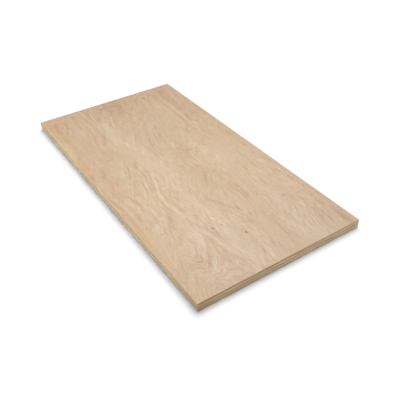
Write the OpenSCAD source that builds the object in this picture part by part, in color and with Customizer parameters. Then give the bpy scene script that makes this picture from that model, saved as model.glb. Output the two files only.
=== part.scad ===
// Five-ply plywood sheet lying flat. Veneers are peeled from the log, glued up with the grain
// of each one square to the next, pressed, trimmed to size by the saw and sanded on both faces.
// The origin is the centre of the underside. X runs along the face grain, and Z is up.

/* [Sheet] */
// Length of the sheet, along the grain of the face, in mm
sheet_length = 600; // [150:1:2500]
// Width of the sheet, across the grain of the face, in mm
sheet_width = 300; // [100:1:1250]
// Easing of the sawn edge where it meets the face or the back, in mm
arris = 0.4; // [0.1:0.1:0.5]

/* [Plies] */
// Thickness of the face veneer after sanding, in mm
face_t = 3; // [0.6:0.1:6]
// Thickness of each crossband, in mm
crossband_t = 3; // [0.6:0.1:6]
// Thickness of the core veneer, in mm
core_t = 3; // [0.6:0.1:9]
// Thickness of the back veneer after sanding, in mm
back_t = 3; // [0.6:0.1:6]

/* [Hidden] */

// Height of each glue line above the floor, from the back veneer upwards
lower_crossband_z = back_t;
core_z = lower_crossband_z + crossband_t;
upper_crossband_z = core_z + core_t;
face_z = upper_crossband_z + crossband_t;

// Colours of the sanded face, and of the sawn edges of the plies behind it
face_colour = [0.84, 0.74, 0.63];
crossband_colour = [0.74, 0.66, 0.53];
core_colour = [0.66, 0.56, 0.42];
back_colour = [0.80, 0.70, 0.58];

// Section of an outer veneer: square at the glue line, with both arrises eased at the surface.
module outer_section(width, thickness) {
    half = width / 2;
    polygon([
        [-half, 0],
        [half, 0],
        [half, thickness - arris],
        [half - arris, thickness],
        [arris - half, thickness],
        [-half, thickness - arris],
    ]);
}

// Outer veneer with its glue line down: what the section along the sheet and the section
// across it have in common, so that the easing runs round all four edges and mitres.
module outer_veneer(thickness) {
    intersection() {
        rotate([90, 0, 0])
            linear_extrude(sheet_width, center = true)
                outer_section(sheet_length, thickness);
        rotate([90, 0, 90])
            linear_extrude(sheet_length, center = true)
                outer_section(sheet_width, thickness);
    }
}

// Veneer inside the sheet, sawn square on all four edges, with its underside at height z.
module inner_veneer(z, thickness) {
    translate([0, 0, z + thickness / 2])
        cube([sheet_length, sheet_width, thickness], center = true);
}

// Grain along the sheet
module face_veneer() {
    color(face_colour)
        translate([0, 0, face_z])
            outer_veneer(face_t);
}

// Grain across the sheet
module upper_crossband() {
    color(crossband_colour)
        inner_veneer(upper_crossband_z, crossband_t);
}

// Grain along the sheet
module core_veneer() {
    color(core_colour)
        inner_veneer(core_z, core_t);
}

// Grain across the sheet
module lower_crossband() {
    color(crossband_colour)
        inner_veneer(lower_crossband_z, crossband_t);
}

// Grain along the sheet, turned over so that its sanded side lies on the floor
module back_veneer() {
    color(back_colour)
        translate([0, 0, back_t])
            rotate([180, 0, 0])
                outer_veneer(back_t);
}

face_veneer();
upper_crossband();
core_veneer();
lower_crossband();
back_veneer();
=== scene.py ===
"""Five-ply plywood sheet: veneers peeled from the log, glued with crossed grain, sawn to size and sanded."""
import math

import bpy
import numpy as np
from mathutils import Matrix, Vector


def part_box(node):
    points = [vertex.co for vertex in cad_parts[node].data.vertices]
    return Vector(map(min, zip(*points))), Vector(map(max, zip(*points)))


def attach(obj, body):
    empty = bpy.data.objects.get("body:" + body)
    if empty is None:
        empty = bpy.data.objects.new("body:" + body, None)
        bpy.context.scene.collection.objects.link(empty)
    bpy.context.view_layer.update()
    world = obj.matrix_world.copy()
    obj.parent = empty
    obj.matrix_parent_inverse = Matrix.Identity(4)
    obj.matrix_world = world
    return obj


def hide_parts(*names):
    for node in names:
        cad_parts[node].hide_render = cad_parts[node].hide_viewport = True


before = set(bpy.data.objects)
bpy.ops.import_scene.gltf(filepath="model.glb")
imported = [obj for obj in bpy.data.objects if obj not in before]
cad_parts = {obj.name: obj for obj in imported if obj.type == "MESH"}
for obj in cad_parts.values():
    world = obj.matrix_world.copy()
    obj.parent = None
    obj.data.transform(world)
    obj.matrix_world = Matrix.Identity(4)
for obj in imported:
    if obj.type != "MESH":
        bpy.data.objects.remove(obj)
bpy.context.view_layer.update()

# Back veneer
# The lowest ply: hardwood peeled from the log on a lathe, laid with its grain along the sheet and glued to
# the crossband above it. Its underside is sanded, its four edges are sawn, and the arris is eased by hand.
MM = 0.001
ARRIS = 0.4 * MM
SANDED_CELL = (3.0 * MM, 1.4 * MM)
BORDER_CELL = 0.5 * MM
SHARP_ANGLE = math.radians(35)
GLUE_SWING = 0.12 * MM
GLUE_WAVES = (60 * MM, 260 * MM)


def slow_waves(x, y, seed, swing, shortest, longest, count=12):
    """Cosine waves of random length, direction and phase, summed, and scaled to pass the swing rarely."""
    draw = np.random.default_rng(seed)
    length = draw.uniform(shortest, longest, count)
    turn = draw.uniform(0, 2 * math.pi, count)
    phase = draw.uniform(0, 2 * math.pi, count)
    total = np.zeros(np.shape(x))
    for wave, way, start in zip(2 * math.pi / length, turn, phase):
        total = total + np.cos(wave * (x * math.cos(way) + y * math.sin(way)) + start)
    return swing * total / math.sqrt(2 * count)


def glue_line(level):
    """Height of a glue line over the sheet: the level of the joint plus the slow waver of a pressed veneer.

    The level in tenths of a millimetre seeds the waver, so the two plies that meet there share one line.
    """
    seed = round(level / (0.1 * MM))
    return lambda x, y: level + slow_waves(x, y, seed, GLUE_SWING, *GLUE_WAVES)


def lattice_lines(length, cell):
    """Shares of a length at even steps, with one narrow border cell at each end to hold the edge crisp."""
    border = BORDER_CELL / length
    return np.concatenate([[0.0], np.linspace(border, 1 - border, round(length / cell)), [1.0]])


def eased_rows(thickness):
    """Rows up an outer veneer's edge as (share of the height, set back): straight, then a quarter circle."""
    turn = np.radians([0, 30, 60, 90])
    round_rows = np.stack([1 - ARRIS * (1 - np.sin(turn)) / thickness, ARRIS * (1 - np.cos(turn))], -1)
    return np.concatenate([[[0.0, 0.0], [0.5, 0.0]], round_rows])


def ply_skin(low, high, cell, rows, underside, upperside):
    """Closed skin of a veneer, from a lattice of points along, across and up the ply.

    Along and across, a row's points fill the outline less the row's set back. Each stands at the row's share
    of the way from underside(x, y) to upperside(x, y). The six outer sheets of the lattice are the faces. The
    number of a face's material is 0 on the flat sides, 1 on the two ends and 2 on the two long edges.
    Returns the points, the faces, their material numbers and each point's share of the height.
    """
    share, back = np.asarray(rows).T
    along = lattice_lines(high[0] - low[0], cell[0])[:, None, None]
    across = lattice_lines(high[1] - low[1], cell[1])[None, :, None]
    x = low[0] + back + along * (high[0] - low[0] - 2 * back)
    y = low[1] + back + across * (high[1] - low[1] - 2 * back)
    x, y = np.broadcast_arrays(x, y)
    base = underside(x, y)
    z = base + share * (upperside(x, y) - base)
    number = np.arange(x.size).reshape(x.shape)
    sheets = [
        (number[:, :, -1], 0), (number[:, ::-1, 0], 0),
        (number[-1], 1), (number[0, ::-1], 1),
        (number[::-1, -1], 2), (number[:, 0], 2),
    ]
    quads = [np.stack([s[:-1, :-1], s[1:, :-1], s[1:, 1:], s[:-1, 1:]], -1).reshape(-1, 4) for s, _ in sheets]
    slots = np.concatenate([np.full(len(q), slot) for q, (_, slot) in zip(quads, sheets)])
    used, quads = np.unique(np.concatenate(quads), return_inverse=True)
    points = np.stack([x.ravel(), y.ravel(), z.ravel()], -1)[used]
    height = np.broadcast_to(share, x.shape).ravel()[used]
    return points, quads.reshape(-1, 4), slots, height


def ply_piece(name, skin, materials, values):
    """Mesh object of a skin, with its materials in slot order and each named value stored on its points."""
    points, quads, slots, _ = skin
    mesh = bpy.data.meshes.new(name)
    mesh.from_pydata(points.tolist(), [], quads.tolist())
    mesh.polygons.foreach_set("material_index", slots.astype(np.int32))
    mesh.polygons.foreach_set("use_smooth", np.ones(len(quads), dtype=bool))
    mesh.set_sharp_from_angle(angle=SHARP_ANGLE)
    for label, value in values.items():
        mesh.attributes.new(label, "FLOAT", "POINT").data.foreach_set("value", value.astype(np.float32))
    for material in materials:
        mesh.materials.append(material)
    piece = bpy.data.objects.new(name, mesh)
    bpy.context.scene.collection.objects.link(piece)
    return piece


RING_STRETCH = np.array([0.45, 1.0])


def ring_count(x, y, box, lines, eyes=()):
    """Number of growth rings met on the way from the far side to each point.

    A thin-plate surface, the one that bends least while it passes close to every drawn line at that line's
    ring number, plus a round knoll of rings for each eye. Rings are drawn out along the grain, so the surface
    takes lengths along the sheet shortened by the stretch. Lines and eyes are in mm from the near end and
    from the far side.
    """
    marks = np.array([mark for _, line in lines for mark in line]) * RING_STRETCH
    rings = np.array([ring for ring, line in lines for _ in line])
    from_end = (box[1][0] - x) / MM
    from_side = (box[1][1] - y) / MM
    place = np.stack([from_end, from_side], -1) * RING_STRETCH

    def plate(to, mark):
        """Square of the distance times its logarithm, which is nothing at the mark itself."""
        square = ((to - mark) ** 2).sum(-1)
        return 0.5 * square * np.log(np.maximum(square, 1e-9))

    count = len(marks)
    flat = np.concatenate([np.ones((count, 1)), marks], 1)
    system = np.zeros((count + 3, count + 3))
    system[:count, :count] = plate(marks[:, None], marks[None]) + np.eye(count)
    system[:count, count:] = flat
    system[count:, :count] = flat.T
    weight = np.linalg.solve(system, np.concatenate([rings, np.zeros(3)]))
    total = weight[count] + place @ weight[count + 1:]
    for mark, pull in zip(marks, weight):
        total = total + pull * plate(place, mark)
    for end, side, half_length, half_width, height in eyes:
        ahead = (from_end - end) / half_length
        aside = (from_side - side) / half_width
        total = total + height * np.exp(-ahead ** 2 - aside ** 2)
    return total


LIGHT_BALANCE = np.array([1.0, 0.986, 0.966])


def tint(red, green, blue):
    """Colour as the screen shows it, 0 to 255 a channel, in the linear values that shaders take.

    The light balance holds it a little warmer, because the scene's light is cooler than white by that much.
    """
    screen = np.array([red, green, blue]) / 255
    linear = np.where(screen <= 0.04045, screen / 12.92, ((screen + 0.055) / 1.055) ** 2.4)
    return (*(linear * LIGHT_BALANCE).tolist(), 1.0)


def add(tree, kind, inputs=None, **settings):
    """Add a shader node. Inputs go by socket name or number, each a plain value or another node's output."""
    made = tree.nodes.new(kind)
    for label, value in settings.items():
        setattr(made, label, value)
    for socket, value in (inputs or {}).items():
        if isinstance(value, bpy.types.NodeSocket):
            tree.links.new(value, made.inputs[socket])
        else:
            made.inputs[socket].default_value = value
    return made


def maths(tree, operation, first, second=0.0, third=0.0):
    """Output of a Math node."""
    return add(tree, "ShaderNodeMath", {0: first, 1: second, 2: third}, operation=operation).outputs[0]


def vector_maths(tree, operation, first, second=(0, 0, 0)):
    """Output of a Vector Math node: a vector, or the length of one."""
    made = add(tree, "ShaderNodeVectorMath", {0: first, 1: second}, operation=operation)
    return made.outputs["Value" if operation == "LENGTH" else "Vector"]


def spread(tree, value, low, high, to_low=0.0, to_high=1.0):
    """Value carried smoothly from the span low to high onto the span to_low to to_high, held beyond it."""
    sockets = {"Value": value, "From Min": low, "From Max": high, "To Min": to_low, "To Max": to_high}
    return add(tree, "ShaderNodeMapRange", sockets, interpolation_type="SMOOTHSTEP").outputs[0]


def noise(tree, vector, scale, detail, roughness=0.5):
    """Noise over object coordinates in metres, at scale waves a metre along, across and up."""
    scaled = vector_maths(tree, "MULTIPLY", vector, scale)
    sockets = {"Vector": scaled, "Scale": 1.0, "Detail": detail, "Roughness": roughness}
    return add(tree, "ShaderNodeTexNoise", sockets).outputs["Fac"]


def blend(tree, share, first, second, mode="MIX"):
    """Second colour laid over the first by a share. A Mix node numbers its colour sockets 6, 7 and 2."""
    sockets = {0: share, 6: first, 7: second}
    return add(tree, "ShaderNodeMix", sockets, data_type="RGBA", blend_type=mode).outputs[2]


def stain(tree, colour, share, low, high):
    """Colour multiplied by a stain that goes from low to high with the share."""
    return blend(tree, 1.0, colour, blend(tree, share, low, high), "MULTIPLY")


def point_value(tree, label):
    """Value that the piece's mesh stores on its points under a name."""
    return add(tree, "ShaderNodeAttribute", attribute_name=label).outputs["Fac"]


def start_group(name, values, places, outputs):
    """Empty shader node group that takes values and places, by name, and gives values.

    Returns its tree, what comes in and what goes out.
    """
    tree = bpy.data.node_groups.new(name, "ShaderNodeTree")
    for label in values:
        tree.interface.new_socket(label, in_out="INPUT", socket_type="NodeSocketFloat")
    for label in places:
        tree.interface.new_socket(label, in_out="INPUT", socket_type="NodeSocketVector")
    for label in outputs:
        tree.interface.new_socket(label, in_out="OUTPUT", socket_type="NodeSocketFloat")
    return tree, tree.nodes.new("NodeGroupInput").outputs, tree.nodes.new("NodeGroupOutput").inputs


FIBRE_LEAN = 32
LINES_PER_RING = 1.7
RING_WAVE, RING_FRAY = 0.9, 0.3
LINE_WAVE, LINE_FRAY = 0.7, 0.25


def growth_figure_group():
    """Figure of peeled wood, drawn along its rings, from the ring count.

    The count is first shaken by two noises, so that no line runs clean. Depth, Streak and Fleck are noises
    over distance along the grain and the shaken count, each finer than the last; Streak leans across the
    rings, as fibres do that spiral round the log. Line is the dark late wood: the fraction of a less shaken,
    closer count, which climbs slowly and drops at the end of each step, fading in and out along its length.
    """
    tree, came, goes = start_group(
        "Growth figure", ["Rings"], ["Vector"], ["Depth", "Line", "Streak", "Fleck"])
    wave = noise(tree, came["Vector"], (14, 110, 110), 3)
    fray = noise(tree, came["Vector"], (75, 420, 420), 2)
    shaken = maths(tree, "MULTIPLY_ADD", wave, RING_WAVE, came["Rings"])
    shaken = maths(tree, "MULTIPLY_ADD", fray, RING_FRAY, shaken)
    along = add(tree, "ShaderNodeSeparateXYZ", {0: came["Vector"]}).outputs["X"]
    flow = add(tree, "ShaderNodeCombineXYZ", {"X": along, "Y": shaken}).outputs[0]
    leaning = maths(tree, "MULTIPLY_ADD", along, -FIBRE_LEAN, shaken)
    spiral = add(tree, "ShaderNodeCombineXYZ", {"X": along, "Y": leaning}).outputs[0]
    closer = maths(tree, "MULTIPLY", came["Rings"], LINES_PER_RING)
    closer = maths(tree, "MULTIPLY_ADD", wave, LINE_WAVE, closer)
    closer = maths(tree, "MULTIPLY_ADD", fray, LINE_FRAY, closer)
    fraction = maths(tree, "FRACT", closer)
    climb = spread(tree, fraction, 0.2, 0.85)
    drop = spread(tree, fraction, 0.86, 1.0, 1.0, 0.0)
    fade = spread(tree, noise(tree, flow, (18, 0.4, 1), 2), 0.35, 0.62, 0.1, 1.0)
    line = maths(tree, "MULTIPLY", maths(tree, "MULTIPLY", climb, drop), fade)
    tree.links.new(line, goes["Line"])
    figures = [
        ("Depth", flow, (10, 0.55, 1), 3, 0.6),
        ("Streak", spiral, (32, 1.4, 1), 3, 0.5),
        ("Fleck", flow, (72, 2.7, 1), 2, 0.5),
    ]
    for label, course, scale, detail, roughness in figures:
        grown = noise(tree, course, scale, detail, roughness)
        tree.links.new(spread(tree, grown, 0.25, 0.75), goes[label])
    return tree


def pore_group():
    """Fine marks: cloudy patches, fibres and open pores drawn out along the vector's X, and sanding grit."""
    tree, came, goes = start_group("Pores", [], ["Vector"], ["Cloud", "Fibre", "Pore", "Grit"])
    cloud = noise(tree, came["Vector"], (48, 120, 120), 2)
    pore = noise(tree, came["Vector"], (120, 1500, 1500), 1)
    tree.links.new(spread(tree, cloud, 0.3, 0.7), goes["Cloud"])
    tree.links.new(noise(tree, came["Vector"], (60, 1100, 1100), 2), goes["Fibre"])
    tree.links.new(spread(tree, pore, 0.60, 0.74), goes["Pore"])
    tree.links.new(noise(tree, came["Vector"], (420, 560, 560), 1), goes["Grit"])
    return tree


def long_grain_group():
    """Sawn edge beside the grain, which runs along the vector's X: thin streaks that follow the ply."""
    tree, came, goes = start_group("Sawn long grain", [], ["Vector"], ["Tone", "Height"])
    streak = noise(tree, came["Vector"], (14, 600, 600), 4, 0.6)
    patch = noise(tree, came["Vector"], (22, 22, 160), 2)
    tree.links.new(spread(tree, maths(tree, "ADD", streak, patch), 0.7, 1.3), goes["Tone"])
    tree.links.new(streak, goes["Height"])
    return tree


def end_grain_group():
    """Sawn edge across the grain, the vector's X: cut fibres, upright rays and level ring lines."""
    tree, came, goes = start_group("Sawn end grain", [], ["Vector"], ["Tone", "Height"])
    ray = noise(tree, came["Vector"], (1, 900, 160), 2)
    ring = noise(tree, came["Vector"], (1, 30, 1100), 3)
    patch = noise(tree, came["Vector"], (1, 30, 120), 3)
    cut = maths(tree, "ADD", maths(tree, "MULTIPLY", ray, 0.6), maths(tree, "MULTIPLY", ring, 0.6))
    tree.links.new(spread(tree, maths(tree, "ADD", cut, patch), 0.75, 1.45), goes["Tone"])
    tree.links.new(ray, goes["Height"])
    return tree


RESIN_BLEED = (0.13 * MM, 0.5 * MM)


def glue_group():
    """Share of dark resin near a glue line, by the distance to it: a thin line that bleeds into wood."""
    tree, came, goes = start_group("Glue line", ["Distance"], ["Vector"], ["Resin"])
    bleed = spread(tree, noise(tree, came["Vector"], (45, 45, 45), 3), 0.3, 0.7, *RESIN_BLEED)
    nearness = maths(tree, "SUBTRACT", 1.0, maths(tree, "DIVIDE", came["Distance"], bleed))
    tree.links.new(spread(tree, nearness, 0.0, 1.0), goes["Resin"])
    return tree


GROWTH_FIGURE = growth_figure_group()
PORES = pore_group()
LONG_GRAIN = long_grain_group()
END_GRAIN = end_grain_group()
GLUE_LINE = glue_group()
WOOD_SPECULAR = 0.25
ALONG, ACROSS = 0.0, math.radians(90)


def wood_shader(name):
    """Material with a Principled BSDF for bare sanded or sawn wood; returns it, its tree and the shader."""
    material = bpy.data.materials.new(name)
    material.use_nodes = True
    tree = material.node_tree
    shader = tree.nodes["Principled BSDF"]
    shader.inputs["Specular IOR Level"].default_value = WOOD_SPECULAR
    return material, tree, shader


def grain_vector(tree, grain):
    """Object coordinates turned so that X runs along the grain."""
    place = add(tree, "ShaderNodeTexCoord").outputs["Object"]
    return add(tree, "ShaderNodeMapping", {"Vector": place, "Rotation": (0, 0, -grain)}).outputs[0]


RESIN = tint(104, 76, 48)
RESIN_SHARE = 0.72
NEUTRAL_MULTIPLIER = (1.0, 1.0, 1.0, 1.0)
# Multiplier that darkens the sawn edges towards the near left corner
DARKER_NEAR_CORNER = (0.76, 0.72, 0.66, 1.0)
SAWN_ROUGHNESS = (0.85, 0.70)
SAWN_BUMP = {"Strength": 0.3, "Distance": 0.1 * MM}


def sawn_edge(name, cut, grain, dark, light):
    """Sawn edge of a veneer: grain from dark to light, resin at glue lines, darkening towards the near left
    corner, and a bump of fibres.
    """
    material, tree, shader = wood_shader(name)
    vector = grain_vector(tree, grain)
    fibres = add(tree, "ShaderNodeGroup", {"Vector": vector}, node_tree=cut).outputs
    sockets = {"Distance": point_value(tree, "from_glue"), "Vector": vector}
    resin = add(tree, "ShaderNodeGroup", sockets, node_tree=GLUE_LINE).outputs["Resin"]
    wood = blend(tree, fibres["Tone"], dark, light)
    glued = blend(tree, maths(tree, "MULTIPLY", resin, RESIN_SHARE), wood, RESIN)
    # Darker towards the near left corner
    darkened = stain(tree, glued, point_value(tree, "corner_dark_painted_rim_shade"), NEUTRAL_MULTIPLIER, DARKER_NEAR_CORNER)
    tree.links.new(darkened, shader.inputs["Base Color"])
    rough = spread(tree, fibres["Tone"], 0.0, 1.0, *SAWN_ROUGHNESS)
    tree.links.new(rough, shader.inputs["Roughness"])
    bump = add(tree, "ShaderNodeBump", {"Height": fibres["Height"], **SAWN_BUMP})
    tree.links.new(bump.outputs[0], shader.inputs["Normal"])
    return material


FINE_DARK = (0.775, 0.68, 0.64, 1.0)
FINE_LIGHT = (1.225, 1.32, 1.36, 1.0)
FINE_LEVEL = 0.60
STRIPE_BREAK = 0.7
LINE_DEPTH = 0.60
PORE_DEPTH = 0.18
FIGURE_SWINGS = {"Depth": 0.17, "Streak": 0.21, "Fleck": 0.16}
PORE_SWINGS = {"Cloud": 0.13, "Fibre": 0.26, "Grit": 0.42}
LIVELINESS = (0.35, 1.3)
CRISP_CAP = 0.42
SWING_WHERE_DULL = 0.55
SWING_PER_CRISP = 1.4
OLIVE = (0.988, 1.012, 0.99, 1.0)
BLUSH = (1.012, 0.988, 1.005, 1.0)
# Multiplier that paints a bluish-grey shade on the face's far rim
PAINTED_RIM_SHADE = (0.74, 0.86, 1.0, 1.0)
SANDED_ROUGHNESS = (0.62, 0.52)
SANDED_BUMP = {"Strength": 0.15, "Distance": 0.05 * MM}


def sanded_wood(name, dark, light):
    """Sanded face of a veneer with the grain along the sheet, before any marks of its own.

    The broad tone is a point value, from dark to light; on the face it also holds painted shade towards both
    ends and along the far rim. Fine figure multiplies it: the point value "stripe", growth lines by the point
    value "crisp", and the noises that follow rings and grain. The noises swing more in lively places, and
    more where "crisp" is high, up to a cap. A slow drift between olive and pink multiplies it too, and so
    does a point value that paints a bluish-grey shade on the rim.
    Returns the material, its tree, its shader, the wood's colour and the object coordinates.
    """
    material, tree, shader = wood_shader(name)
    vector = grain_vector(tree, ALONG)
    named = {label: point_value(tree, label) for label in ("growth", "tone_and_painted_shade", "stripe", "crisp", "corner_dark_painted_rim_shade")}
    sockets = {"Rings": named["growth"], "Vector": vector}
    figure = add(tree, "ShaderNodeGroup", sockets, node_tree=GROWTH_FIGURE).outputs
    pores = add(tree, "ShaderNodeGroup", {"Vector": vector}, node_tree=PORES).outputs
    line = maths(tree, "MULTIPLY", figure["Line"], named["crisp"])
    broken = maths(tree, "MULTIPLY_ADD", figure["Fleck"], STRIPE_BREAK, 1.0)
    fine = maths(tree, "MULTIPLY_ADD", named["stripe"], broken, FINE_LEVEL)
    fine = maths(tree, "MULTIPLY_ADD", line, -LINE_DEPTH, fine)
    fine = maths(tree, "MULTIPLY_ADD", pores["Pore"], -PORE_DEPTH, fine)
    lively = spread(tree, noise(tree, vector, (9, 24, 24), 2), 0.35, 0.65, *LIVELINESS)
    crisp_held = maths(tree, "MINIMUM", named["crisp"], CRISP_CAP)
    firm = maths(tree, "MULTIPLY_ADD", crisp_held, SWING_PER_CRISP, SWING_WHERE_DULL)
    lively = maths(tree, "MULTIPLY", lively, firm)
    swings = [(figure[label], swing) for label, swing in FIGURE_SWINGS.items()]
    swings += [(pores[label], swing) for label, swing in PORE_SWINGS.items()]
    for effect, swing in swings:
        strength = maths(tree, "MULTIPLY", lively, swing)
        fine = maths(tree, "MULTIPLY_ADD", maths(tree, "SUBTRACT", effect, 0.5), strength, fine)
    colour = blend(tree, named["tone_and_painted_shade"], dark, light)
    blush = spread(tree, noise(tree, vector, (22, 55, 55), 2), 0.3, 0.7)
    colour = stain(tree, colour, fine, FINE_DARK, FINE_LIGHT)
    colour = stain(tree, colour, blush, OLIVE, BLUSH)
    # Painted shade on the far rim
    colour = stain(tree, colour, named["corner_dark_painted_rim_shade"], NEUTRAL_MULTIPLIER, PAINTED_RIM_SHADE)
    rough = spread(tree, line, 0.0, 1.0, *SANDED_ROUGHNESS)
    tree.links.new(rough, shader.inputs["Roughness"])
    height = maths(tree, "SUBTRACT", pores["Fibre"], pores["Pore"])
    bump = add(tree, "ShaderNodeBump", {"Height": height, **SANDED_BUMP})
    tree.links.new(bump.outputs[0], shader.inputs["Normal"])
    return material, tree, shader, colour, vector


RIM_WIDTH = 2.6 * MM
FAR_SIDE_SHARE = 0.4
CORNER_REACH_END, CORNER_REACH_SIDE = 80 * MM, 185 * MM


def darken_corner_paint_rim_shade(x, y, box, height):
    """Darkening, 0 to 1: on the sawn edges towards the near left corner, and on a face as painted shade on a
    thin far rim.

    On edges it falls off along the side and the end with distance from the near left corner. On a face, where
    the height is 1, it falls off with distance from the far end and, from a weaker start, from the far side.
    """
    # Faces: painted shade on a thin rim along the far end and, weaker, the far side
    far_end = np.exp(-((x - box[0][0]) / RIM_WIDTH) ** 2)
    far_side = FAR_SIDE_SHARE * np.exp(-((box[1][1] - y) / RIM_WIDTH) ** 2)
    # Edges: darker towards the near left corner
    corner = np.exp(-(box[1][0] - x) / CORNER_REACH_END - ((y - box[0][1]) / CORNER_REACH_SIDE) ** 2)
    return np.where(height == 1, np.maximum(far_end, far_side), corner)


def soft_marks(x, y, box, marks):
    """Sum of soft marks, each a bell across and a flat-topped bell along a sloping centre line.

    A mark is (from the near end, from the far side, half length, half width, slope, amount), lengths in mm.
    """
    from_end = (box[1][0] - x) / MM
    from_side = (box[1][1] - y) / MM
    total = np.zeros(np.shape(x))
    for end, side, half_length, half_width, slope, amount in marks:
        ahead = (from_end - end) / half_length
        aside = (from_side - side - slope * (from_end - end)) / half_width
        total = total + amount * np.exp(-ahead ** 4 - aside ** 2)
    return total


BACK_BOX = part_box("back_veneer")
# Ring lines of the back as (ring number, points), then its eyes and its paler and darker patches
BACK_RINGS = [
    (0, [(0, 20), (300, 5), (600, 30)]),
    (8, [(0, 80), (160, 60), (330, 85), (600, 70)]),
    (16, [(0, 150), (120, 120), (260, 150), (420, 130), (600, 160)]),
    (22, [(0, 210), (150, 190), (300, 215), (450, 180), (600, 200)]),
    (30, [(0, 290), (200, 270), (380, 285), (600, 262)]),
]
BACK_EYES = [(430, 155, 70, 16, 5)]
BACK_PATCHES = [(150, 90, 200, 40, 0, 0.10), (450, 200, 160, 45, 0, 0.10), (300, 150, 380, 20, 0, -0.10)]
BACK_TONE, BACK_CRISPNESS = 0.6, 0.3
BACK_SANDED = tint(182, 150, 118), tint(216, 192, 163)
BACK_END = tint(200, 168, 126), tint(236, 210, 174)
BACK_SIDE = tint(206, 185, 150), tint(234, 216, 184)

back_thickness = BACK_BOX[1][2] - BACK_BOX[0][2]
turned_rows = [(1 - share, set_back) for share, set_back in eased_rows(back_thickness)[::-1]]
back_skin = ply_skin(
    BACK_BOX[0], BACK_BOX[1], SANDED_CELL, turned_rows,
    lambda x, y: np.full(np.shape(x), BACK_BOX[0][2]), glue_line(BACK_BOX[1][2]))
back_x, back_y = back_skin[0][:, 0], back_skin[0][:, 1]
from_top = 1 - back_skin[3]
back_values = {
    "growth": ring_count(back_x, back_y, BACK_BOX, BACK_RINGS, BACK_EYES),
    "tone_and_painted_shade": BACK_TONE + soft_marks(back_x, back_y, BACK_BOX, BACK_PATCHES),
    "stripe": np.zeros(len(back_x)),
    "crisp": np.full(len(back_x), BACK_CRISPNESS),
    "corner_dark_painted_rim_shade": darken_corner_paint_rim_shade(back_x, back_y, BACK_BOX, from_top),
    "from_glue": from_top * back_thickness,
}
back_wood, tree, shader, colour, _ = sanded_wood("back_wood", *BACK_SANDED)
tree.links.new(colour, shader.inputs["Base Color"])
back_end = sawn_edge("back_end_grain", END_GRAIN, ALONG, *BACK_END)
back_side = sawn_edge("back_long_grain", LONG_GRAIN, ALONG, *BACK_SIDE)
back = ply_piece("sanded_back_veneer", back_skin, [back_wood, back_end, back_side], back_values)
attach(back, "root")
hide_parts("back_veneer")

# Crossbands and core
# Three inner veneers of the same peeled wood, the outer two with the grain across the sheet and the middle
# one along it. They are glued under pressure, so only their sawn edges show.
INNER_CELL = (4.0 * MM, 4.0 * MM)
PULLED_FIBRE = 0.04 * MM
INNER_ROWS = [(0.0, 0.0), (0.5, PULLED_FIBRE), (1.0, 0.0)]
# Node, slot, direction of the grain, and the dark and light of the ends and of the long edges
INNER_PLIES = [
    ("lower_crossband", "crossband_wood", ACROSS,
     (212, 180, 134), (246, 220, 178), (207, 182, 142), (236, 214, 179)),
    ("core_veneer", "core_wood", ALONG,
     (196, 163, 115), (237, 209, 164), (211, 186, 144), (242, 220, 182)),
    ("upper_crossband", "crossband_wood", ACROSS,
     (218, 190, 144), (250, 226, 183), (204, 177, 132), (232, 208, 167)),
]
for node, slot, grain, dark_end, light_end, dark_side, light_side in INNER_PLIES:
    low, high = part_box(node)
    skin = ply_skin(low, high, INNER_CELL, INNER_ROWS, glue_line(low[2]), glue_line(high[2]))
    height = skin[3]
    from_glue = np.minimum(height, 1 - height) * (high[2] - low[2])
    end_cut, side_cut = (END_GRAIN, LONG_GRAIN) if grain == ALONG else (LONG_GRAIN, END_GRAIN)
    ends = sawn_edge(f"{node}_ends", end_cut, grain, tint(*dark_end), tint(*light_end))
    sides = sawn_edge(f"{node}_sides", side_cut, grain, tint(*dark_side), tint(*light_side))
    # The sawn edges darken towards the near left corner
    corner_dark_painted_rim_shade = darken_corner_paint_rim_shade(skin[0][:, 0], skin[0][:, 1], (low, high), np.zeros(len(height)))
    # The flat sides lie hidden in the glue lines, so they share the material of the long edges
    ply = ply_piece(f"sawn_{node}", skin, [sides, ends, sides], {"corner_dark_painted_rim_shade": corner_dark_painted_rim_shade, "from_glue": from_glue})
    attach(ply, "root")
    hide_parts(node)

# Face veneer
# The show side: one sheet of peeled hardwood with a wild, pale figure, glued over the upper crossband with
# its grain along the sheet and sanded smooth. Three pin knots, one of them faint, and a strip of yellow
# sapwood were left in it.
FACE_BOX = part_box("face_veneer")
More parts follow.
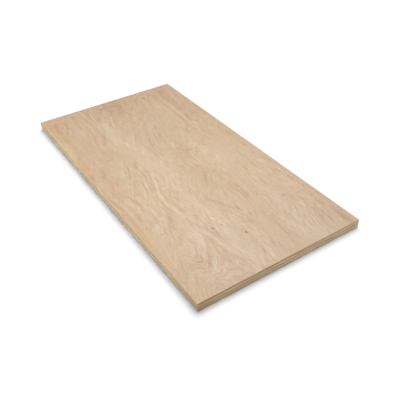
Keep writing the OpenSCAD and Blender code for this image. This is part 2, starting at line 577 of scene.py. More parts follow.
# Ring lines of the face as (ring number, points), read along the figure
FACE_RINGS = [
    (0, [(0, 8), (600, 6)]),
    (3, [(0, 26), (105, 17), (270, 25), (490, 24), (600, 12)]),
    (5, [(0, 40), (30, 38), (95, 24), (205, 40), (270, 35), (430, 41), (535, 38), (600, 25)]),
    (7, [(0, 52), (55, 41), (95, 35), (200, 52), (275, 46), (400, 58), (525, 51), (600, 34)]),
    (11, [(0, 90), (105, 90), (240, 100), (315, 98), (365, 83), (490, 79), (535, 67), (600, 42)]),
    (14, [(0, 105), (55, 112), (170, 103), (285, 115), (450, 104), (600, 90)]),
    (17, [(0, 125), (95, 132), (170, 150), (200, 148), (245, 133), (330, 129), (385, 131), (470, 116),
          (600, 104)]),
    (20, [(0, 144), (85, 144), (170, 164), (200, 165), (240, 159), (325, 166), (400, 164), (470, 140),
          (600, 125)]),
    (23, [(0, 167), (80, 163), (190, 183), (375, 181), (440, 169), (515, 154), (600, 146)]),
    (26, [(0, 183), (50, 185), (170, 202), (225, 202), (265, 196), (415, 192), (480, 178), (600, 165)]),
    (29, [(0, 195), (85, 208), (170, 219), (200, 220), (290, 205), (325, 202), (445, 201), (515, 192),
          (600, 185)]),
    (31.5, [(0, 210), (55, 212), (130, 222), (220, 227), (280, 218), (445, 217), (500, 210), (600, 210)]),
    (34, [(0, 288), (28, 280), (45, 273), (50, 266), (40, 254), (33, 244), (45, 233), (64, 223), (91, 219),
          (170, 232), (215, 236), (270, 227), (335, 222), (445, 227), (600, 223)]),
    (36, [(0, 295), (40, 281), (60, 273), (62, 267), (50, 256), (45, 250), (60, 241), (76, 233), (97, 228),
          (215, 244), (270, 235), (345, 228), (460, 234), (600, 231)]),
    (38, [(17, 298), (60, 284), (80, 276), (85, 267), (73, 258), (68, 253), (80, 245), (99, 239), (215, 252),
          (345, 235), (450, 252), (507, 237), (600, 240)]),
    (41, [(56, 297), (140, 271), (230, 261), (255, 263), (335, 249), (445, 267), (550, 251), (600, 249)]),
    (44, [(107, 298), (200, 278), (340, 267), (455, 274), (600, 258)]),
    (47, [(150, 298), (200, 290), (255, 292), (385, 288), (445, 281), (510, 288), (600, 280)]),
    (50, [(270, 299), (470, 292), (600, 297)]),
]
# Knolls of rings as (from the near end, from the far side, half length, half width, rings)
FACE_EYES = [
    (99, 67, 32, 14, 0.9), (274, 76, 54, 21, 0.8), (400, 252, 100, 15, 2.0),
]
# From here to the sapwood, marks as soft_marks takes them: paler and darker patches of the broad tone, and
# painted shade, where the marks as wide as the sheet darken it towards both ends and thin dark marks paint a
# shaded rim along the far end and the far side
FACE_PATCHES_AND_PAINTED_SHADE = [
    (60, 178, 130, 28, 0.05, 0.11), (220, 188, 150, 24, 0, 0.11), (350, 188, 140, 22, 0, 0.10),
    (475, 200, 70, 10, -0.1, 0.13), (290, 76, 40, 20, 0, 0.10), (30, 75, 50, 18, 0, 0.08),
    (108, 75, 18, 13, -0.3, 0.05), (500, 68, 80, 14, 0, 0.05), (150, 288, 75, 9, 0, 0.09),
    (130, 108, 100, 20, 0, -0.06), (245, 128, 60, 16, 0, -0.08), (340, 128, 100, 16, 0, -0.06),
    # Painted shade among these: the marks as wide as the sheet, and the thin dark marks at the far end and
    # along the far side
    (35, 14, 60, 6, 0, -0.13), (300, 4, 400, 8, 0, -0.10), (45, 218, 22, 9, -0.2, -0.05),
    (560, 150, 60, 30, 0, -0.12), (580, 30, 40, 14, -0.3, -0.12), (560, 268, 50, 14, -0.2, -0.06),
    (660, 150, 270, 900, 0, -0.20), (-10, 150, 110, 900, 0, -0.13), (600, 150, 5, 900, 0, -0.10),
    (450, 45, 180, 50, 0, -0.04), (300, 12, 420, 22, 0, -0.05), (585, 130, 30, 40, 0, -0.12),
    (190, 240, 170, 22, 0, 0.07), (450, 195, 70, 14, 0, 0.07), (135, 45, 55, 16, 0, -0.09),
    (600, 150, 60, 900, 0, -0.06), (130, 165, 80, 12, 0, -0.06), (255, 195, 55, 10, 0, -0.11),
    (75, 292, 40, 8, 0, 0.08), (510, 235, 40, 24, 0, 0.06), (500, 30, 70, 20, 0, -0.07),
    (565, 65, 35, 22, 0, -0.05), (330, 14, 30, 8, 0, -0.07), (90, 196, 24, 9, 0, -0.06),
    (120, 14, 45, 9, 0, -0.06), (180, 105, 50, 14, 0, -0.05), (180, 165, 45, 12, 0, -0.06),
    (24, 238, 16, 9, 0, 0.09), (34, 221, 6, 6, 0.8, 0.10), (485, 203, 45, 7, 0, 0.06),
    (20, 285, 18, 9, 0, -0.05), (560, 8, 45, 5, 0, 0.06), (70, 180, 22, 9, 0, -0.07),
    (150, 45, 34, 12, 0, -0.04), (330, 45, 34, 12, 0, -0.04), (450, 45, 34, 12, 0, -0.03),
    (510, 105, 34, 14, 0, -0.05), (545, 195, 34, 12, 0, 0.03), (150, 225, 32, 12, 0, 0.06),
    (510, 285, 32, 9, 0, 0.05), (60, 286, 60, 12, 0, 0.05), (180, 262, 60, 14, 0, 0.04),
    (100, 299, 95, 6, 0, -0.10), (505, 300, 85, 5, 0, 0.12), (3, 130, 9, 60, 0, -0.08),
]
# Pale and dark streaks of the fine figure
FACE_STREAKS = [
    (52, 236.8, 16, 3.4, -0.58, 0.11), (24, 236, 10, 4, -0.5, 0.05), (74, 239.5, 14, 2.8, -0.5, 0.11),
    (100, 226, 20, 3.2, -0.38, 0.17), (48, 259, 7, 1.9, 1.3, 0.16), (52, 267, 2.5, 4, 0, 0.08),
    (78, 262, 3, 4, 0, 0.10), (87, 253, 6, 2.4, -0.4, 0.10), (41, 233.5, 11, 1.3, -0.62, -0.14),
    (47, 218, 8, 8, 0.4, -0.06), (58, 242.5, 13, 1.7, -0.55, -0.15), (86, 227, 16, 1.4, -0.45, -0.12),
    (53, 258, 6, 2.2, 1.3, -0.10), (76, 244, 14, 1.2, -0.55, -0.12), (38, 277, 14, 1.3, -0.4, -0.16),
    (80, 277, 13, 1.4, -0.32, -0.18), (62, 287, 16, 1.2, -0.3, -0.12), (60, 292, 18, 1.2, -0.2, -0.12),
    (13, 281, 8, 4, 0, -0.08), (13, 253, 4, 4, 0.2, -0.08), (112, 227, 24, 4.5, -0.3, 0.13),
    (42, 252, 6, 1.8, 1.2, -0.14), (76, 262, 2.0, 5, 0, -0.12), (81, 253, 2.2, 5, 0, -0.10),
    (95, 242, 12, 1.2, -0.4, -0.12), (67, 250, 6, 3.4, -0.9, 0.11), (40, 283, 22, 1.1, -0.2, -0.12),
    (50, 279, 16, 1.2, -0.3, 0.10), (100, 222, 10, 1.6, -0.35, -0.12), (105, 209, 32, 2.2, 0.12, 0.14),
    (160, 217.5, 13, 1.2, 0.02, -0.12), (183, 219.5, 19, 2.4, 0.03, 0.32),
    (195, 214.5, 26, 1.5, -0.02, -0.20), (185, 237, 18, 1.8, -0.1, -0.16),
    (165, 243, 18, 1.8, -0.25, -0.14), (155, 252, 9, 1.8, -0.35, -0.24), (168, 265, 8, 8, -0.3, 0.10),
    (150, 266, 3, 6, 0, -0.16), (207, 220, 6, 2, 0, 0.14), (232, 221.5, 28, 1.7, -0.13, 0.26),
    (238, 217.3, 22, 1.5, -0.14, -0.24), (252.5, 205, 4, 3.6, 0, 0.30), (217, 204, 5, 1.8, -0.2, -0.18),
    (197, 257, 16, 1.8, -0.05, -0.16), (173, 281, 5, 2.6, 0, -0.18), (281, 209, 24, 2.0, -0.28, 0.30),
    (281, 214.2, 24, 1.6, -0.28, -0.22), (273, 228, 16, 1.9, -0.24, 0.30),
    (268, 233.5, 18, 1.5, -0.28, -0.20), (285, 222, 16, 1.6, -0.35, -0.20),
    (305, 233, 18, 1.4, -0.3, -0.22), (325, 236, 22, 1.5, -0.36, -0.32),
    (310, 238.5, 16, 1.4, -0.35, 0.14), (365, 231, 8, 1.6, -0.45, 0.24), (332, 245, 12, 4, 0, 0.10),
    (387, 246, 5, 6, 0, -0.15), (298, 248.5, 2.6, 2.6, 0, -0.30), (293, 253, 3, 1.3, -0.5, 0.26),
    (357, 271, 17, 3.2, -0.42, -0.16), (343, 260, 7, 1.6, 0.3, 0.14), (262, 240, 26, 2.6, -0.25, 0.12),
    (215, 246.5, 16, 1.6, 0, -0.18), (225, 270, 20, 3.6, 0, 0.14), (315, 206, 7, 3.2, 0.1, -0.18),
    (307, 216.5, 3, 2, -0.3, -0.26), (345, 213, 16, 1.7, -0.25, -0.15), (330, 210, 6, 2, -0.5, 0.16),
    (322, 174, 9, 1.5, -0.7, 0.20), (318, 178, 8, 1.4, -0.7, -0.14), (318, 163, 11, 1.8, -0.1, -0.18),
    (387, 154.5, 6, 1.8, -0.1, -0.26), (330, 268, 24, 13, 0, -0.08), (300, 271, 20, 1.6, -0.4, -0.10),
    (446, 226.5, 6, 1.5, -0.4, -0.26), (465, 219.3, 9, 1.4, -0.35, -0.22),
    (474, 245, 15, 1.8, -0.4, -0.20), (457, 214, 8, 1.5, -0.4, -0.16), (505, 207, 9, 1.5, -0.45, -0.16),
    (520, 232, 14, 1.6, -0.3, -0.14), (530, 174, 14, 1.8, -0.35, 0.20), (500, 212, 22, 1.6, -0.05, 0.16),
    (425, 176, 18, 1.8, -0.4, 0.16), (576, 175, 4, 4.5, 0.2, -0.34), (578, 238, 6, 2.4, -0.2, -0.36),
    (575, 211.5, 22, 1.5, -0.05, -0.34), (575, 215.7, 24, 1.6, 0, 0.24),
    (545, 241, 30, 1.8, -0.15, -0.12), (550, 268, 7, 1.5, -0.4, 0.20), (560, 292, 8, 2, 0, -0.30),
    (430, 257, 4, 3, 0, -0.14), (440, 43, 14, 3.0, 0, -0.20), (505, 40, 48, 2.2, 0, -0.16),
    (450, 24, 7, 1.8, -0.4, -0.18), (442, 57, 14, 2.6, -0.1, -0.18), (505, 33, 40, 3.5, -0.1, -0.14),
    (539, 13.5, 5, 1.7, -0.6, -0.30), (555, 17, 15, 1.8, -0.2, 0.20), (548, 50, 12, 1.8, -0.5, 0.16),
    (550, 55, 13, 1.7, -0.45, -0.18), (543, 64, 13, 1.8, -0.4, -0.20), (492, 68, 8, 2.2, -0.9, -0.16),
    (515, 99, 12, 2.0, -0.1, -0.18), (562, 99.5, 10, 1.7, -0.35, -0.24), (458, 136, 8, 1.6, -0.4, -0.20),
    (575, 33, 11, 3.0, -0.3, -0.20), (565, 138, 18, 4, -0.4, -0.14), (540, 122, 6, 2.4, 0.2, -0.20),
    (575, 113, 6, 1.6, -0.4, 0.18), (395, 72, 13, 3, 0.1, -0.14), (412, 76, 6, 2, 0, -0.14),
    (370, 113, 8, 2, -0.2, -0.14), (405, 130, 16, 3.5, -0.4, -0.12), (390, 50, 8, 1.8, -0.2, 0.16),
    (385, 37, 16, 2.2, 0, -0.12), (338, 13.5, 10, 2.4, 0, -0.22), (370, 15, 8, 2.0, -0.2, -0.20),
    (344, 56, 6, 1.6, -0.4, -0.22), (354, 60, 4, 2.2, 0, -0.16), (333, 108, 5, 6.5, 0, -0.22),
    (325, 116, 5, 2.6, -0.2, -0.18), (334, 77, 6, 2.2, 0.9, -0.14), (278, 36, 10, 5, -0.3, -0.12),
    (222, 40, 11, 2.0, 0, -0.18), (239, 38, 3, 1.2, -0.6, -0.22), (228, 126, 15, 1.8, -0.55, -0.24),
    (226, 137, 18, 1.8, -0.5, -0.26), (240, 133, 10, 1.6, -0.5, -0.16), (222, 147, 12, 1.6, -0.5, -0.20),
    (274, 125, 6, 2.2, -0.2, -0.24), (290, 120, 10, 2.4, 0, 0.16), (236, 92, 5, 2.2, 0, 0.22),
    (232, 97.5, 6, 1.5, 0, -0.16), (232, 115, 2.2, 3.5, 0, -0.14), (296, 143, 8, 2.4, 0, 0.18),
    (290, 147.5, 5, 2, 0, -0.20), (35, 33, 24, 1.5, -0.12, -0.26), (35, 25, 20, 2, -0.1, -0.12),
    (15, 48, 16, 1.6, 0, -0.14), (8, 57, 6, 2, 0, -0.16), (22, 55, 5, 2, -0.3, -0.14),
    (16, 24, 6, 3.4, 0, 0.18), (38, 44, 9, 1.6, -0.6, -0.20), (119, 54, 3, 3.6, 0, -0.30),
    (105, 74, 15, 2.6, -0.6, 0.08), (113, 80, 12, 2, -0.6, 0.10), (98, 67, 10, 3, -0.6, 0.06),
    (80, 82, 10, 2, -0.6, -0.12), (116, 21, 6, 5, -0.6, 0.10), (112, 28, 3, 2.4, 0, -0.14),
    (48, 111, 28, 1.6, -0.1, -0.20), (116, 127, 13, 1.8, -0.4, -0.22), (108, 121, 12, 1.6, -0.3, -0.16),
    (160, 103, 13, 2, 0, -0.18), (156, 108, 9, 1.6, 0, -0.20), (165, 96, 18, 2.6, 0, 0.16),
    (185, 129, 14, 1.6, -0.25, -0.18), (186, 134, 14, 1.6, -0.25, 0.14), (135, 136, 5, 2.4, 0, -0.22),
    (140, 131, 9, 1.6, -0.3, 0.14), (118, 133, 9, 3, -0.3, 0.10), (203, 132, 5, 1.5, -0.4, -0.20),
    (165, 138, 3.5, 2, 0, -0.16), (157, 151.5, 13, 2.0, 0.28, -0.18), (10, 14, 34, 4.5, 0, -0.18),
    (20, 163, 26, 1.6, -0.05, -0.16), (20, 158, 24, 1.6, -0.05, 0.14), (97, 198, 18, 2, -0.05, -0.14),
    (217, 8, 3, 2, 0, -0.26), (222, 22, 8, 3, 0, 0.20), (255, 16, 8, 2.2, 0, -0.16),
    (286, 13, 8, 2, 0.1, -0.20), (222, 58, 5, 2, 0, -0.18), (244, 63, 7, 4, -0.4, -0.10),
    (190, 63, 5, 2.6, 0, 0.18), (158, 72, 7, 3, 0, 0.16), (147, 88, 5, 2.2, -0.2, -0.14),
    (160, 85, 6, 3, 0, 0.10), (432, 133, 22, 1.6, -0.43, 0.15), (398, 146, 20, 1.6, -0.27, 0.15),
    (405, 151, 30, 1.6, -0.3, -0.12), (70, 290, 40, 1.2, -0.06, -0.12), (90, 294, 45, 1.1, -0.05, -0.12),
    (60, 296.5, 35, 1.0, -0.03, 0.10), (110, 287, 30, 1.2, -0.1, -0.12), (225, 291, 3, 1.6, 0, -0.30),
    (258, 293.3, 24, 1.4, 0.15, -0.30), (215, 262.5, 16, 1.2, -0.12, -0.12),
    (245, 263.5, 10, 1.2, 0.2, -0.18), (262, 267.5, 8, 1.3, 0.3, -0.14), (283, 287, 9, 1.3, -0.3, -0.16),
    (462, 280, 20, 1.2, 0, -0.16), (505, 284.5, 16, 1.6, 0.1, -0.16), (545, 264, 26, 1.6, -0.35, -0.12),
    (545, 283, 20, 3, -0.1, -0.12), (484, 296, 8, 1.2, -0.2, -0.14), (452, 294, 9, 1.2, -0.3, 0.14),
    (333, 248, 8, 2.2, 0.9, 0.14), (357, 249, 6, 2.0, 1.2, 0.10), (392, 271, 9, 1.3, -0.4, -0.16),
    (394, 267, 9, 1.2, -0.4, 0.12), (475, 55.5, 60, 1.8, -0.02, -0.16), (495, 48.5, 55, 2.4, -0.02, 0.14),
    (222, 284, 7, 2.4, 0, 0.16), (240, 286, 6, 2.2, 0, 0.14), (475, 291, 14, 1.2, -0.15, 0.16),
    (455, 297, 12, 1.0, -0.1, -0.14), (506, 189, 14, 1.4, -0.33, -0.18),
    (529, 188.5, 7, 1.4, -0.3, -0.14), (500, 204, 14, 1.4, -0.33, -0.18),
    (545, 201.5, 32, 1.4, -0.09, -0.18), (548, 208.5, 34, 1.4, -0.05, -0.20),
    (552, 218.5, 10, 1.4, -0.2, -0.22), (455, 223.5, 7, 1.4, -0.35, -0.20),
    (515, 227, 6, 1.6, -0.3, -0.22), (483, 227.5, 8, 1.4, -0.35, -0.20),
    (532, 170, 12, 1.4, -0.35, -0.18), (545, 167, 10, 1.4, -0.3, -0.16), (505, 197, 26, 2.0, -0.15, 0.12),
    (418, 175, 10, 1.4, -0.4, -0.20), (433, 167, 10, 1.4, -0.45, -0.20),
    (452, 176, 13, 1.4, -0.32, -0.18), (443, 188, 13, 1.4, -0.28, -0.18),
    (470, 236, 14, 1.4, -0.3, -0.18), (490, 242, 12, 1.4, -0.3, -0.16), (582, 205, 12, 1.4, -0.1, -0.20),
    (560, 221, 20, 1.4, -0.05, -0.16), (545, 205.3, 30, 1.5, -0.06, 0.14),
    (515, 183, 9, 1.4, -0.3, -0.16), (444, 230.5, 7, 1.3, -0.2, -0.18), (503, 222, 9, 1.4, -0.2, -0.16),
    (468, 222.5, 16, 1.5, -0.3, 0.14), (555, 195, 30, 1.4, -0.1, -0.14),
    (555, 188.5, 26, 1.5, -0.15, -0.10), (500, 67, 12, 1.8, -0.35, -0.18),
    (480, 61.5, 45, 2.0, -0.03, 0.12), (560, 56.5, 9, 1.6, -0.25, -0.18),
    (348, 295, 12, 1.3, -0.3, -0.26), (420, 292, 10, 1.3, -0.5, -0.16), (398, 273, 10, 1.4, -0.3, -0.20),
    (402, 278, 9, 1.3, -0.3, -0.18), (400, 275.5, 9, 1.3, -0.3, 0.14), (288, 271, 14, 1.6, -0.45, -0.18),
    (271, 274, 10, 1.4, -0.4, -0.14), (346, 273, 8, 1.6, -0.5, -0.16), (354, 295.5, 6, 1.5, 0, -0.20),
    (205, 280.5, 13, 1.2, -0.08, -0.14), (198, 292, 20, 1.2, 0, -0.12), (390, 290, 22, 1.5, -0.15, -0.12),
    (330, 226, 16, 1.4, -0.28, -0.12), (395, 236, 14, 1.5, -0.35, -0.14),
    (410, 228, 14, 1.5, -0.3, -0.12), (342, 217, 7, 2.0, -0.4, -0.20), (353, 209, 10, 1.6, -0.35, -0.16),
    (303, 213, 8, 1.4, -0.4, -0.16), (278, 219, 10, 1.3, -0.35, -0.16), (281, 228.5, 5, 1.3, -0.5, 0.18),
    (322, 233, 12, 1.4, -0.4, -0.18), (364, 271, 7, 3.0, -0.2, -0.12), (312, 271, 14, 7, 0, -0.06),
    (385, 281, 8, 1.3, -0.3, 0.16), (420, 193, 8, 1.8, -0.2, 0.14), (376, 183, 8, 4, -0.5, 0.10),
    (257.5, 206, 2.4, 3, 0, -0.24), (299, 221, 9, 1.3, -0.4, 0.14), (340, 223, 10, 1.3, -0.35, 0.14),
    (328, 215, 8, 1.4, -0.4, 0.14), (345, 240, 12, 1.5, -0.3, 0.12), (290, 226, 8, 1.3, -0.5, -0.16),
    (265, 221, 12, 1.3, -0.3, -0.14), (177, 161, 8, 1.7, 0.8, -0.15), (155, 213.5, 16, 1.6, 0.02, 0.13),
    (118, 206.5, 13, 2.2, 0.1, -0.10), (62, 216, 18, 4.5, 0.25, -0.09), (133, 188, 9, 1.6, 0.3, -0.10),
    (137, 183.5, 6, 1.8, 0.2, 0.10), (212, 229.3, 26, 1.1, 0, -0.22), (222, 225, 16, 1.6, -0.05, 0.22),
    (185, 223, 20, 1.3, -0.02, 0.16), (246, 221.5, 11, 1.2, -0.3, 0.18),
    (195, 218.5, 13, 1.0, 0.05, -0.14), (125, 216, 14, 1.4, 0.1, 0.14), (72, 206.5, 18, 1.3, 0.2, 0.13),
    (88, 212.5, 16, 1.2, 0.2, -0.10), (291, 243.4, 14, 1.5, -0.54, -0.24),
    (328, 227.3, 11, 1.3, -0.14, 0.22), (324, 216.4, 17, 1.3, -0.03, -0.20),
    (287, 230.6, 14, 1.2, -0.03, -0.20), (297, 236.5, 11, 1.3, -0.45, 0.18), (264, 251.5, 3, 6, 0, -0.16),
]
# Amber wood: broad drifts and the left rim first, then single streaks and spots
FACE_AMBERS = [
    (660, 150, 280, 900, 0, 0.14), (270, 150, 180, 900, 0, 0.25), (300, 290, 420, 16, 0, 0.28),
    (340, 240, 170, 32, 0, 0.07), (60, 288, 70, 13, 0, -0.10), (225, 8, 12, 3, 0, 0.12),
    (328, 9, 7, 2.2, -0.5, 0.45), (338, 14, 9, 2.2, 0, 0.45), (372, 12, 20, 4, -0.1, 0.20),
    (155, 293, 25, 1.3, -0.14, 0.75), (200, 290.3, 22, 1.4, -0.01, 0.85),
    (168, 295.5, 14, 1.8, -0.05, 0.70), (258, 293.3, 25, 1.6, 0.15, 0.85),
    (206, 278.5, 14, 1.4, -0.08, 0.85), (243, 279, 16, 1.6, 0.15, 0.25), (238, 262, 10, 1.7, 0.1, 0.70),
    (258, 266, 11, 1.6, 0.3, 0.65), (280, 287, 11, 2.0, -0.2, 0.40), (293, 285, 6, 1.6, -0.3, 0.50),
    (348, 294, 14, 1.6, -0.33, 0.80), (372, 295.5, 20, 1.6, -0.05, 0.65), (376, 289, 14, 1.5, -0.1, 0.40),
    (358, 271, 18, 4, -0.42, 0.22), (425, 289, 14, 1.8, -0.5, 0.85), (437, 288, 14, 3, -0.4, 0.25),
    (530, 279, 70, 9, -0.08, 0.28), (545, 264, 28, 2.2, -0.35, 0.50), (468, 281, 28, 1.6, 0.02, 0.45),
    (507, 287, 22, 2.0, 0.2, 0.55), (557, 292, 8, 2, 0, 0.45), (583, 289, 12, 2.4, 0, 0.50),
    (568, 236, 12, 5, -0.3, 0.20), (590, 175, 6, 9, 0, 0.25), (588, 128, 6, 4, 0, 0.20),
    (231, 105, 7, 5, 0, 0.55), (333, 108, 5, 7, 0, 0.30), (565, 39, 14, 4, -0.3, 0.15),
    (100, 292, 30, 1.4, -0.06, 0.30), (400, 295, 16, 3, -0.1, 0.40),
]
# Places where the wood has greyed
FACE_GREYS = [
    (30, 82, 50, 16, 0, 0.5), (105, 76, 24, 13, 0, 0.75), (52, 237, 20, 4.0, -0.58, 0.7),
    (92, 230, 16, 5, -0.42, 0.8), (480, 203, 60, 8, -0.1, 0.5), (35, 221, 5, 6, 0.8, 0.6),
    (18, 240, 12, 6, -0.5, 0.7), (560, 8, 60, 6, 0, 1.0), (30, 50, 60, 30, 0, 0.3),
    (450, 8, 120, 6, 0, 0.5), (120, 12, 120, 9, 0, 0.4), (415, 120, 70, 40, 0, 0.3),
    (70, 184, 40, 12, 0, 0.5), (575, 176, 7, 6, 0, 2.4), (480, 40, 80, 14, 0, 0.25),
    (545, 55, 40, 14, 0, 0.2),
]
# Where growth lines stand out more, or less
FACE_CRISP = [
    (66, 252, 36, 26, 0, 0.36), (150, 222, 70, 16, 0, 0.3), (35, 50, 55, 40, 0, 0.30),
    (230, 133, 30, 14, 0, 0.2), (370, 248, 50, 16, 0, 0.35), (296, 258, 26, 13, 0, -0.22),
    (520, 200, 75, 24, 0, 0.3), (465, 225, 45, 16, 0, 0.4), (485, 36, 80, 16, 0, 0.1),
    (545, 62, 50, 18, 0, 0.15), (560, 268, 50, 18, 0, 0.35), (410, 155, 90, 30, 0, 0.3),
    (40, 80, 45, 16, 0, -0.15), (70, 180, 45, 18, 0, -0.15), (290, 75, 40, 20, 0, -0.12),
    (160, 180, 60, 14, 0, -0.10), (370, 190, 60, 14, 0, -0.10),
]
# Strip of sapwood on the left edge
FACE_SAPWOOD = [
    (463, 298, 36, 13, 0, 1.0), (530, 300, 45, 6, 0, 0.6), (424, 297, 12, 3, -0.5, 0.4),
]
# Pin knots as (place), (half length, half width) and depth
PIN_KNOTS = [
    ((79.5, 160.5), (3.6, 2.1), 0.6), ((116.5, 197.5), (3.5, 2.1), 0.6),
    ((116.5, 181.5), (3.6, 2.4), 0.24),
]
FACE_TONE, FACE_CRISPNESS = 0.53, 0.30
FACE_SANDED = tint(184, 151, 120), tint(225, 206, 180)
FACE_END = tint(188, 155, 115), tint(212, 183, 144)
FACE_SIDE = tint(206, 177, 131), tint(236, 209, 165)
GREYED = (0.95, 1.015, 1.045, 1.0)
SAPWOOD = (1.07, 1.18, 1.06, 1.0)
SAPWOOD_FRAY = 0.8
AMBER, AMBER_SHARE = tint(204, 160, 110), 0.55
KNOT_TAIL, TAIL_SHARE = tint(176, 132, 86), 0.3
KNOT_CORE, CORE_SHARE = tint(124, 84, 32), 0.9


def pin_knot_group():
    """Share of dark wood at a pin knot: an oval core, with a faint tail drawn out along the grain."""
    tree, came, goes = start_group("Pin knot", [], ["Vector", "Centre", "Size"], ["Core", "Tail"])
    away = vector_maths(tree, "SUBTRACT", came["Vector"], came["Centre"])
    flat = vector_maths(tree, "MULTIPLY", away, (1, 1, 0))
    sized = vector_maths(tree, "DIVIDE", flat, came["Size"])
    drawn = vector_maths(tree, "MULTIPLY", sized, (0.22, 0.9, 0))
    core = spread(tree, vector_maths(tree, "LENGTH", sized), 0.4, 1.3, 1.0, 0.0)
    tail = spread(tree, vector_maths(tree, "LENGTH", drawn), 0.2, 1.6, 1.0, 0.0)
    tree.links.new(core, goes["Core"])
    tree.links.new(tail, goes["Tail"])
    return tree


PIN_KNOT = pin_knot_group()
face_thickness = FACE_BOX[1][2] - FACE_BOX[0][2]
face_skin = ply_skin(
    FACE_BOX[0], FACE_BOX[1], SANDED_CELL, eased_rows(face_thickness),
    glue_line(FACE_BOX[0][2]), lambda x, y: np.full(np.shape(x), FACE_BOX[1][2]))
face_x, face_y = face_skin[0][:, 0], face_skin[0][:, 1]
face_values = {
    "growth": ring_count(face_x, face_y, FACE_BOX, FACE_RINGS, FACE_EYES),
    # The broad tone holds painted shade towards both ends and along the far rim
    "tone_and_painted_shade": FACE_TONE + soft_marks(face_x, face_y, FACE_BOX, FACE_PATCHES_AND_PAINTED_SHADE),
    "stripe": soft_marks(face_x, face_y, FACE_BOX, FACE_STREAKS),
    "crisp": FACE_CRISPNESS + soft_marks(face_x, face_y, FACE_BOX, FACE_CRISP),
    "amber": soft_marks(face_x, face_y, FACE_BOX, FACE_AMBERS),
    "grey": soft_marks(face_x, face_y, FACE_BOX, FACE_GREYS),
    "sapwood": soft_marks(face_x, face_y, FACE_BOX, FACE_SAPWOOD),
    "corner_dark_painted_rim_shade": darken_corner_paint_rim_shade(face_x, face_y, FACE_BOX, face_skin[3]),
    "from_glue": face_skin[3] * face_thickness,
}
face_wood, tree, shader, colour, vector = sanded_wood("face_wood", *FACE_SANDED)
colour = stain(tree, colour, point_value(tree, "grey"), NEUTRAL_MULTIPLIER, GREYED)
centred = maths(tree, "SUBTRACT", point_value(tree, "sapwood"), SAPWOOD_FRAY / 2)
ragged = maths(tree, "MULTIPLY_ADD", noise(tree, vector, (30, 170, 170), 3), SAPWOOD_FRAY, centred)
colour = stain(tree, colour, spread(tree, ragged, 0.25, 0.75), NEUTRAL_MULTIPLIER, SAPWOOD)
amber = maths(tree, "MULTIPLY", point_value(tree, "amber"), AMBER_SHARE)
colour = blend(tree, amber, colour, AMBER)
for (end, side), (half_length, half_width), depth in PIN_KNOTS:
    sockets = {
        "Vector": vector,
        "Centre": (FACE_BOX[1][0] - end * MM, FACE_BOX[1][1] - side * MM, 0),
        "Size": (half_length * MM, half_width * MM, 1),
    }
    knot = add(tree, "ShaderNodeGroup", sockets, node_tree=PIN_KNOT).outputs
    colour = blend(tree, maths(tree, "MULTIPLY", knot["Tail"], TAIL_SHARE * depth), colour, KNOT_TAIL)
    colour = blend(tree, maths(tree, "MULTIPLY", knot["Core"], CORE_SHARE * depth), colour, KNOT_CORE)
tree.links.new(colour, shader.inputs["Base Color"])
face_end = sawn_edge("face_end_grain", END_GRAIN, ALONG, *FACE_END)
face_side = sawn_edge("face_long_grain", LONG_GRAIN, ALONG, *FACE_SIDE)
face = ply_piece("sanded_face_veneer", face_skin, [face_wood, face_end, face_side], face_values)
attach(face, "root")
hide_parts("face_veneer")

# Floor and light
# A plain white ground that keeps the sheet's soft shadow, and a sky that looks white and lights the sheet
# faintly. One broad lamp stands overhead, and a weaker, cooler one shines in low from the side.
FLOOR_REACH = 12.0
WHITE = (1.0, 1.0, 1.0, 1.0)
floor_mesh = bpy.data.meshes.new("floor")
corners = [(-FLOOR_REACH, -FLOOR_REACH, 0), (FLOOR_REACH, -FLOOR_REACH, 0),
           (FLOOR_REACH, FLOOR_REACH, 0), (-FLOOR_REACH, FLOOR_REACH, 0)]
floor_mesh.from_pydata(corners, [], [(0, 1, 2, 3)])
floor = bpy.data.objects.new("floor", floor_mesh)
bpy.context.scene.collection.objects.link(floor)
ground = bpy.data.materials.new("white_ground")
ground.use_nodes = True
floor_mesh.materials.append(ground)
ground_shader = ground.node_tree.nodes["Principled BSDF"]
ground_shader.inputs["Base Color"].default_value = WHITE
ground_shader.inputs["Roughness"].default_value = 1.0
ground_shader.inputs["Specular IOR Level"].default_value = 0.0

SKY_LIGHT = (0.068, 0.0842, 0.1139, 1.0)
world = bpy.data.worlds.new("sky")
bpy.context.scene.world = world
world.use_nodes = True
sky = world.node_tree
path = add(sky, "ShaderNodeLightPath").outputs
mirrored = maths(sky, "MAXIMUM", path["Is Glossy Ray"], path["Is Transmission Ray"])
seen = maths(sky, "MAXIMUM", path["Is Camera Ray"], mirrored)
background = sky.nodes["Background"]
background.inputs["Strength"].default_value = 1.0
sky.links.new(blend(sky, seen, SKY_LIGHT, WHITE), background.inputs["Color"])

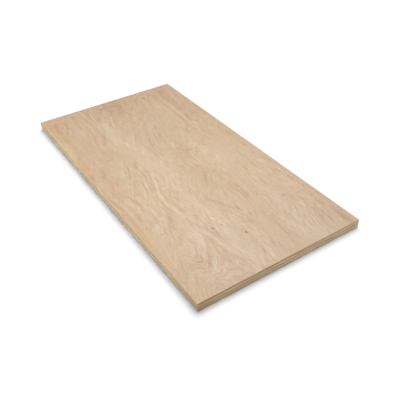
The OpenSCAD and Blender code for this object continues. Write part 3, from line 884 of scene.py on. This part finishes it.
# Name, strength, colour, then in degrees the width of its disc, its lean from upright and its turn
LAMPS = [
    ("overhead_lamp", 0.937, (1.0, 0.979, 0.947), 54, 25.5, 225),
    ("side_lamp", 0.35, (0.84, 0.994, 1.263), 60, 72, 26),
]
for name, strength, shade, width, lean, turn in LAMPS:
    lamp_data = bpy.data.lights.new(name, "SUN")
    lamp_data.energy = strength * math.pi
    lamp_data.color = shade
    lamp_data.angle = math.radians(width)
    lamp = bpy.data.objects.new(name, lamp_data)
    bpy.context.scene.collection.objects.link(lamp)
    lamp.rotation_euler = (math.radians(lean), 0, math.radians(turn))

# Camera
# It looks down on the near end and one long edge, with the sheet a little off the middle of the picture.
CAMERA_AZIMUTH, CAMERA_ELEVATION, CAMERA_ROLL = np.radians([56.69, 37.69, -1.65])
CAMERA_DISTANCE = 0.9283
AIM = np.array([0.1144, 0.0128, 0.0])
IMAGE_WIDTH, FOCAL_PIXELS, AXIS_PIXEL = 400, 547.2, 220
SENSOR_WIDTH = 36
back_axis = np.array([
    math.sin(CAMERA_AZIMUTH) * math.cos(CAMERA_ELEVATION),
    -math.cos(CAMERA_AZIMUTH) * math.cos(CAMERA_ELEVATION),
    math.sin(CAMERA_ELEVATION)])
level_axis = np.array([math.cos(CAMERA_AZIMUTH), math.sin(CAMERA_AZIMUTH), 0])
rise_axis = np.cross(back_axis, level_axis)
right_axis = level_axis * math.cos(CAMERA_ROLL) + rise_axis * math.sin(CAMERA_ROLL)
up_axis = rise_axis * math.cos(CAMERA_ROLL) - level_axis * math.sin(CAMERA_ROLL)
camera_data = bpy.data.cameras.new("camera")
camera_data.sensor_width = SENSOR_WIDTH
camera_data.lens = FOCAL_PIXELS / IMAGE_WIDTH * SENSOR_WIDTH
camera_data.shift_x = 0.5 - AXIS_PIXEL / IMAGE_WIDTH
camera = bpy.data.objects.new("camera", camera_data)
bpy.context.scene.collection.objects.link(camera)
stand = np.eye(4)
stand[:3] = np.stack([right_axis, up_axis, back_axis, AIM + CAMERA_DISTANCE * back_axis], -1)
camera.matrix_world = Matrix(stand.tolist())
bpy.context.scene.camera = camera
bpy.context.scene.view_settings.view_transform = "Standard"
